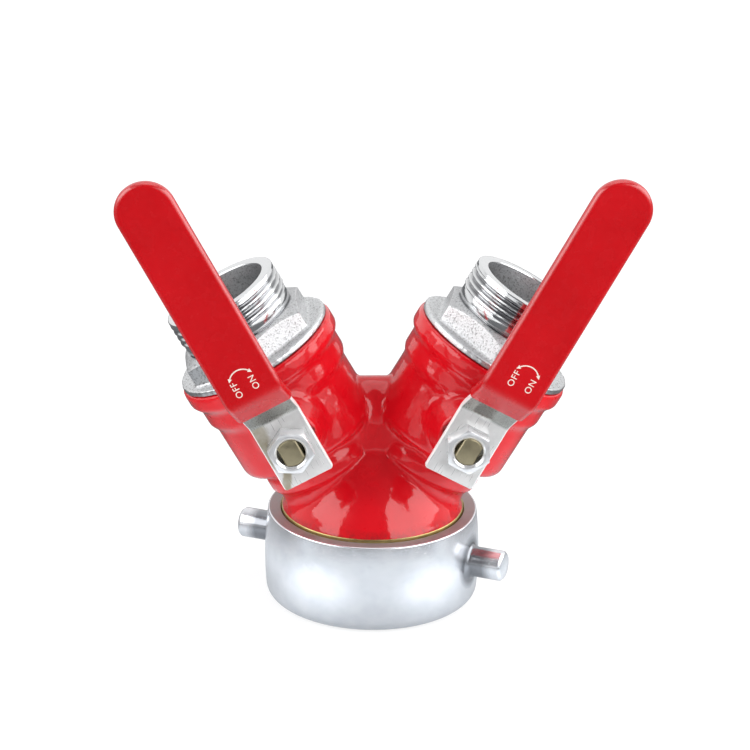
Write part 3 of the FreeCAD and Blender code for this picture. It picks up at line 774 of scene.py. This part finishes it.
def lug_mesh(degrees):
    """Round spanner lug with a fillet that runs out on the ring's wall."""
    columns = 64
    around = np.linspace(0, 2 * math.pi, columns, endpoint=False)
    rows = [(LUG_R + LUG_FILLET, -LUG_SINK)]
    rows += [(LUG_R + LUG_FILLET * (1 - math.sin(a)), LUG_FILLET * (1 - math.cos(a)))
             for a in np.linspace(0, math.pi / 2, 9)]
    points = []
    for radius, lift in rows:
        side = radius * np.cos(around)
        height = LUG_Z + radius * np.sin(around)
        points.append(np.stack([np.sqrt(wall_r(height) ** 2 - side ** 2) + lift, side, height], axis=-1))
    rim = [(LUG_R, LUG_TIP - LUG_CHAMFER - 0.3), (LUG_R - 0.1, LUG_TIP - LUG_CHAMFER),
           (LUG_R - LUG_CHAMFER + 0.1, LUG_TIP - 0.1), (LUG_R - LUG_CHAMFER - 0.2, LUG_TIP)]
    for radius, out in rim:
        points.append(np.stack([np.full(columns, out), radius * np.cos(around),
                                LUG_Z + radius * np.sin(around)], axis=-1))
    index = np.arange(len(points) * columns).reshape(len(points), columns)
    after = np.roll(index, -1, axis=1)
    faces = np.stack([index[:-1], index[1:], after[1:], after[:-1]], axis=-1).reshape(-1, 4).tolist()
    mesh = bpy.data.meshes.new("lug")
    faces += [index[0].tolist(), index[-1].tolist()]
    mesh.from_pydata((np.concatenate(points) * MM).tolist(), [], faces)
    mesh.transform(Matrix.Rotation(math.radians(degrees), 4, "Z"))
    outward_normals(mesh)
    return mesh


def plated_ring(chrome, dull_face):
    mesh = joined("plated_ring", [ring_mesh(), lug_mesh(LUG_ANGLE), lug_mesh(LUG_ANGLE + 180)])
    smooth_shaded(mesh, 32)
    mesh.materials.append(chrome)
    mesh.materials.append(dull_face)
    on_top = vectors_of(mesh.polygons, "center")[:, 2] > (RING_HEIGHT - RING_FACE_MARGIN) * MM
    mesh.polygons.foreach_set("material_index", on_top.astype(np.int32))
    piece = new_object("plated_ring", mesh)
    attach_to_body(piece, "swivel")
    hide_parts("swivel_ring")


# Outlet adapters

def hexagon_r(angles, turn):
    """Outline of the hexagon, with its corners slightly rounded."""
    flat = HEX_CORNER_R * math.cos(math.radians(30))
    beside = (np.degrees(angles) - turn) % 60 - 30
    corner = np.full(angles.shape, HEX_CORNER_R - HEX_CORNER_BLUNT)
    return smooth_min(flat / np.cos(np.radians(beside)), corner, HEX_CORNER_ROUND)


def add_thread(section):
    """Rows from the lip down the thread, which runs out into the collar, with painted shade in the thread's roots.
    """
    for along in np.arange(MOUTH_S - THREAD_TOP, THREAD_START_S, -THREAD_ROW):
        turn = thread_height(along / OUTLET_PITCH - section.angles / (2 * math.pi))
        thread = OUTLET_THREAD_R - OUTLET_THREAD_DEPTH * (1 - turn)
        lip = smooth_step(along, MOUTH_S - LIP_HEIGHT - LIP_RUNOUT, MOUTH_S - LIP_HEIGHT)
        collar = smooth_step(along - THREAD_START_S, *COLLAR_RUNOUT)
        radius = thread + (LIP_R - thread) * lip
        section.row(radius + (COLLAR_R - radius) * collar, along,
                    groove=(1 - turn) * (1 - lip) * (1 - collar))


def add_hexagon(section, prism):
    """Rows down the hexagon: its chamfer, with painted shade, its flats, and the fillet at its foot."""
    slope = (HEX_CORNER_R - HEX_TOP_R) / (HEX_HEIGHT - HEX_CORNER_HEIGHT)
    for above in np.linspace(HEX_HEIGHT, 0.0, 40):
        cone = HEX_TOP_R + (HEX_HEIGHT - above) * slope
        down = max(HEX_FOOT_FILLET - above, 0)
        foot = HEX_FOOT_FILLET - math.sqrt(max(HEX_FOOT_FILLET ** 2 - down ** 2, 0))
        radius = smooth_min(prism, np.full(prism.shape, cone), HEX_EDGE_ROUND) + foot
        section.row(radius, FLANGE_TOP_S + above, 1.0,
                    HEX_CHAMFER_SHADE * smooth_step(prism - cone, *HEX_EDGE_FADE))


def add_flange(section, prism):
    """Rows across the flange and round its chipped rim, with painted shade on the rim's underside."""
    chips = sum(size * np.sin(waves * section.angles + phase) for size, waves, phase in FLANGE_CHIPS)
    rim = FLANGE_R - sum(size for size, _, _ in FLANGE_CHIPS) + chips
    inner = prism + HEX_FOOT_FILLET
    for share in (0.3, 0.6, 0.9):
        section.row(inner + (rim - FLANGE_FLAT_INSET - inner) * share, FLANGE_TOP_S, 1.0)
    for radius, height in arc((-FLANGE_ROUND, FLANGE_TOP_S - FLANGE_ROUND), FLANGE_ROUND, 90, 0, 5):
        section.row(rim + radius, height + 0.5 * chips, RIM_CAST)
    for radius, height in arc((-FLANGE_ROUND, RIM_END_S + RIM_GAP + FLANGE_ROUND), FLANGE_ROUND, 0, -90, 5):
        section.row(rim + radius, height + 0.5 * chips, RIM_CAST, 1.0 if radius < -0.05 else 0.0)


def adapter_mesh(side):
    """Outlet adapter about its branch, from the bore over the mouth and down the outside to the spigot."""
    section = Section(ADAPTER_COLUMNS, HEX_TURN[side])
    mouth = MOUTH_S - MOUTH_ROUND
    section.rows(line((OUTLET_BORE_R, SEAT_POCKET_S), (OUTLET_BORE_R, mouth), 6), BORE_CAST)
    section.rows(arc((OUTLET_BORE_R + MOUTH_ROUND, mouth), MOUTH_ROUND, 160, 90, 5))
    section.rows(arc((LIP_R - MOUTH_ROUND, mouth), MOUTH_ROUND, 90, 0, 5))
    add_thread(section)
    section.rows([(COLLAR_R, THREAD_START_S), (COLLAR_R, HEX_TOP_S + COLLAR_FOOT)])
    for depth, above in COLLAR_GROOVE:
        # Painted shade in the cut at the collar's foot
        section.row(COLLAR_R - depth, HEX_TOP_S + above, groove=COLLAR_GROOVE_SHADE)
    prism = hexagon_r(section.angles, HEX_TURN[side])
    add_hexagon(section, prism)
    add_flange(section, prism)
    section.rows(line((SPIGOT_R, RIM_END_S + RIM_GAP), (SPIGOT_R, SPIGOT_END_S), 3))
    section.rows([(SEAT_POCKET_R, SPIGOT_END_S), (SEAT_POCKET_R, SEAT_POCKET_S)])
    return section.mesh(side + "_plated_adapter")


def plated_adapter(side, chrome):
    mesh = adapter_mesh(side)
    mesh.transform(branch_matrix(side))
    smooth_shaded(mesh, 34)
    mesh.materials.append(chrome)
    piece = new_object(side + "_plated_adapter", mesh)
    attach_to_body(piece, "wye")
    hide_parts(side + "_outlet_adapter")


# Handles

def finished_node(side, node, name, width, material):
    """A node of a handle with its edges rounded by a width, in its finish."""
    piece = bevelled_copy(side + "_" + node, side + "_" + name, width)
    piece.data.materials.clear()
    piece.data.materials.append(material)
    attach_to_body(piece, side + "_handle")
    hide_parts(side + "_" + node)


def print_place(side):
    """Placement of flat print on a grip: X runs along the lever, Y to the left across it."""
    front = -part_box(side + "_grip")[0].y
    basis = Matrix(((0, -1, 0), (0, 0, -1), (1, 0, 0)))
    local = Matrix.LocRotScale(Vector((0, pivot[side].y - front, 0)), basis, None)
    return lever_matrix(side) @ local


def word_mesh(word, across):
    """A printed word, centred at its place on the grip."""
    curve = bpy.data.curves.new("word", "FONT")
    curve.body = word
    curve.size = PRINT_HEIGHT * MM
    curve.align_x = "CENTER"
    curve.align_y = "CENTER"
    curve.space_character = PRINT_SPACING
    curve.extrude = PRINT_LIFT * MM
    text = bpy.data.objects.new("word", curve)
    bpy.context.scene.collection.objects.link(text)
    mesh = bpy.data.meshes.new_from_object(text.evaluated_get(bpy.context.evaluated_depsgraph_get()))
    bpy.data.objects.remove(text)
    mesh.transform(Matrix.Translation(Vector((PRINT_ALONG, across, 0)) * MM))
    return mesh


def arrow_mesh():
    """Curved double-headed arrow between the two words."""
    length, half = ARROW_HEAD
    angles = np.radians(np.linspace(-ARROW_HALF_ANGLE, ARROW_HALF_ANGLE, 25))
    inner = ARROW_R - ARROW_STROKE / 2
    outer = ARROW_R + ARROW_STROKE / 2
    outlines = [[(r * math.cos(a), r * math.sin(a)) for r, order in ((outer, 1), (inner, -1))
                 for a in angles[::order]]]
    for sign in (-1, 1):
        a = sign * math.radians(ARROW_HALF_ANGLE)
        out = np.array((math.cos(a), math.sin(a)))
        on = sign * np.array((-math.sin(a), math.cos(a)))
        base = out * ARROW_R - on * ARROW_OVERLAP
        outlines.append([tuple(base - out * half), tuple(base + out * half), tuple(base + on * length)])
    work = bmesh.new()
    for outline in outlines:
        low = [work.verts.new(((ARROW_MIDDLE_ALONG + x) * MM, y * MM, -PRINT_LIFT * MM)) for x, y in outline]
        high = [work.verts.new(v.co + Vector((0, 0, 2 * PRINT_LIFT * MM))) for v in low]
        work.faces.new(low)
        work.faces.new(high)
        for k in range(len(outline)):
            work.faces.new((low[k - 1], low[k], high[k], high[k - 1]))
    bmesh.ops.recalc_face_normals(work, faces=work.faces)
    mesh = bpy.data.meshes.new("arrow")
    work.to_mesh(mesh)
    work.free()
    return mesh


def grip_print(side, ink):
    """OFF, ON and the arrow between them, on each grip a little off in its own way."""
    words = [word_mesh("OFF", PRINT_ACROSS), word_mesh("ON", -PRINT_ACROSS)]
    mesh = joined(side + "_grip_print", words + [arrow_mesh()])
    along, across = PRINT_SHIFT[side]
    mesh.transform(print_place(side) @ Matrix.Translation(Vector((along, across, 0)) * MM))
    mesh.materials.clear()
    mesh.materials.append(ink)
    piece = new_object(side + "_grip_print", mesh)
    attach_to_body(piece, side + "_handle")


# Stage

def emission(tree, colour, strength):
    return add_node(tree, "ShaderNodeEmission", {"Color": colour, "Strength": strength}).outputs["Emission"]


def mix_shader(tree, share, first, second):
    return add_node(tree, "ShaderNodeMixShader", {0: share, 1: first, 2: second}).outputs["Shader"]


def light_pool(tree, centre):
    """1 at a place on the floor, falling to 0 around it."""
    away = vector_node(tree, "DISTANCE", place_of(tree), centre, "Value")
    return add_node(tree, "ShaderNodeMapRange", {
        "Value": away, "From Min": POOL_REACH * MM, "From Max": POOL_CORE * MM},
        interpolation_type="SMOOTHSTEP").outputs["Result"]


def floor_light(tree, near):
    """How bright mirrors see the floor: lit in front and in four pools, darker far out and at the ring."""
    pools = 0.0
    for x, y in ((POOL_X, POOL_Y), (SIDE_POOL_X, SIDE_POOL_Y)):
        for sign in (-1, 1):
            pools = math_node(tree, "ADD", light_pool(tree, (sign * x * MM, y * MM, 0)), pools)
    away = vector_node(tree, "DISTANCE", place_of(tree), (0, FLOOR_LIT_Y * MM, 0), "Value")
    lit = remap(tree, away, FLOOR_DARK_R * MM, FLOOR_LIT_R * MM, FLOOR_DARK, 1.0)
    lit = math_node(tree, "ADD", lit, math_node(tree, "MULTIPLY", pools, POOL_BRIGHT))
    contact = remap(tree, near, RING_MAX_R * MM, CONTACT_SHADE_R * MM, CONTACT_DARK, 1.0)
    return math_node(tree, "MULTIPLY", lit, contact)


def white_floor():
    """Pale floor that keeps the part's shadow: nearly white to the camera, lit in patches to mirrors."""
    mesh = bpy.data.meshes.new("floor")
    half = FLOOR_HALF * MM
    corners = [(-half, -half, 0), (half, -half, 0), (half, half, 0), (-half, half, 0)]
    mesh.from_pydata(corners, [], [(0, 1, 2, 3)])
    material, tree, bsdf = new_material("floor")
    attach(tree, bsdf, Base_Color=(0.86, 0.86, 0.87, 1), Roughness=0.9, Specular_IOR_Level=0.1)
    near = vector_node(tree, "LENGTH", place_of(tree), (0, 0, 0), "Value")
    shine = emission(tree, (0.90, 0.95, 1.0, 1), floor_light(tree, near))
    glow = emission(tree, WHITE, remap(tree, near, *(r * MM for r in FLOOR_GLOW_R), *FLOOR_GLOW))
    path = add_node(tree, "ShaderNodeLightPath").outputs
    mirrored = math_node(tree, "MAXIMUM", path["Is Glossy Ray"], path["Is Transmission Ray"])
    mirrored = math_node(tree, "MULTIPLY", mirrored, FLOOR_MIRRORED)
    seen = math_node(tree, "MULTIPLY", path["Is Camera Ray"], FLOOR_SEEN_WHITE)
    floor = mix_shader(tree, mirrored, bsdf.outputs["BSDF"], shine)
    floor = mix_shader(tree, seen, floor, glow)
    tree.links.new(floor, tree.nodes["Material Output"].inputs["Surface"])
    mesh.materials.append(material)
    new_object("floor", mesh)


def studio_world():
    """White to the camera; the part mirrors pale walls around it and a dark room above the camera."""
    world = bpy.data.worlds.new("studio")
    bpy.context.scene.world = world
    world.use_nodes = True
    tree = world.node_tree
    where = parts_of(tree, add_node(tree, "ShaderNodeTexCoord").outputs["Generated"])
    front = remap(tree, where["Y"], *FRONT_FADE_Y)
    beside = remap(tree, math_node(tree, "ABSOLUTE", where["X"]), *SIDE_FADE_X)
    low_wall = mix_colour(tree, beside, FRONT_WALL, SIDE_WALL)
    ahead = mix_colour(tree, remap(tree, where["Z"], *LOW_FADE_Z), DARK_ROOM, low_wall)
    mirrored = mix_colour(tree, front, WHITE, ahead)
    seen = add_node(tree, "ShaderNodeLightPath").outputs["Is Camera Ray"]
    colour = mix_colour(tree, seen, mirrored, WHITE)
    tree.links.new(colour, tree.nodes["Background"].inputs["Color"])


def soft_box(name, place, width, height, radiance):
    """Rectangular lamp of a given brightness, turned towards the part."""
    lamp = bpy.data.lights.new(name, "AREA")
    lamp.shape = "RECTANGLE"
    lamp.size = width
    lamp.size_y = height
    lamp.energy = radiance * math.pi * width * height
    light = bpy.data.objects.new(name, lamp)
    bpy.context.scene.collection.objects.link(light)
    light.location = place
    light.rotation_euler = (LIGHT_TARGET - Vector(place)).to_track_quat("-Z", "Y").to_euler()


def photo_camera():
    """Camera at the photograph's viewing angle."""
    azimuth = math.radians(CAMERA_AZIMUTH)
    elevation = math.radians(CAMERA_ELEVATION)
    back = Vector((math.sin(azimuth) * math.cos(elevation), -math.cos(azimuth) * math.cos(elevation),
                   math.sin(elevation)))
    right = Vector((math.cos(azimuth), math.sin(azimuth), 0))
    roll = Matrix.Rotation(math.radians(CAMERA_ROLL), 3, "Z")
    turn = Matrix((right, back.cross(right), back)).transposed() @ roll
    lens = bpy.data.cameras.new("camera")
    lens.lens = CAMERA_LENS
    lens.sensor_width = CAMERA_SENSOR
    camera = bpy.data.objects.new("camera", lens)
    bpy.context.scene.collection.objects.link(camera)
    camera.matrix_world = Matrix.LocRotScale(CAMERA_TARGET + back * CAMERA_DISTANCE, turn, None)
    bpy.context.scene.camera = camera


def paint_node(node, material):
    """Gives a node of the frame its finish."""
    materials = frame["nodes"][node].data.materials
    materials.clear()
    materials.append(material)


def dress():
    """Makes the finishes and gives every node its piece or its finish."""
    brass = bare_brass("bare_brass", (0.50, 0.40, 0.17, 1), (0.36, 0.29, 0.12, 1))
    dull_brass = bare_brass("dull_brass", (0.55, 0.48, 0.31, 1), (0.46, 0.40, 0.26, 1))
    # Gland nut brass under red overspray, made darker as painted shade under the lever
    overspray_and_shade_brass = bare_brass("overspray_and_shade_brass", (0.30, 0.02, 0.02, 1), (0.16, 0.015, 0.012, 1))
    vinyl = dipped_vinyl()
    zinc = bright_zinc()
    ring_chrome = satin_chrome()
    adapter_chrome = cast_chrome()
    ink = plain_finish("print_ink", (0.82, 0.76, 0.68, 1), (0.74, 0.68, 0.60, 1), 0.5, 1.5)
    seal = plain_finish("white_seal", (0.82, 0.82, 0.79, 1), (0.74, 0.74, 0.70, 1), 0.45, 5.0)
    rubber = plain_finish("black_rubber", (0.022, 0.022, 0.022, 1), (0.04, 0.04, 0.04, 1), 0.6, 4.0)
    steel = plain_finish("bearing_steel", (0.60, 0.60, 0.60, 1), (0.52, 0.52, 0.53, 1), 0.16, 3.0, 1.0)
    ring_face = plain_finish("ring_face", (0.25, 0.22, 0.22, 1), (0.32, 0.29, 0.29, 1), 0.42, 6.0, 0.3)
    painted_casting(red_enamel(), brass)
    plated_ring(ring_chrome, ring_face)
    for node, material in (("race_plug", steel), ("bearing_balls", steel), ("inlet_gasket", rubber)):
        paint_node(node, material)
    for side in SIDES:
        plated_adapter(side, adapter_chrome)
        strip = plated_steel(side, side == "left")
        finished_node(side, "lever", "plated_lever", LEVER_EDGE, strip)
        finished_node(side, "lever_nut", "plated_nut", NUT_EDGE, zinc)
        finished_node(side, "stem", "brass_stem", STEM_EDGE, dull_brass)
        grip_print(side, ink)
        for node, material in (("grip", vinyl), ("gland_nut", overspray_and_shade_brass), ("valve_ball", ring_chrome),
                               ("inlet_seat", seal), ("outlet_seat", seal), ("stem_packing", seal),
                               ("thrust_washer", seal), ("adapter_o_ring", rubber)):
            paint_node(side + "_" + node, material)


bpy.context.scene.view_settings.view_transform = "Standard"
dress()
white_floor()
studio_world()
for box in SOFT_BOXES:
    soft_box(*box)
photo_camera()
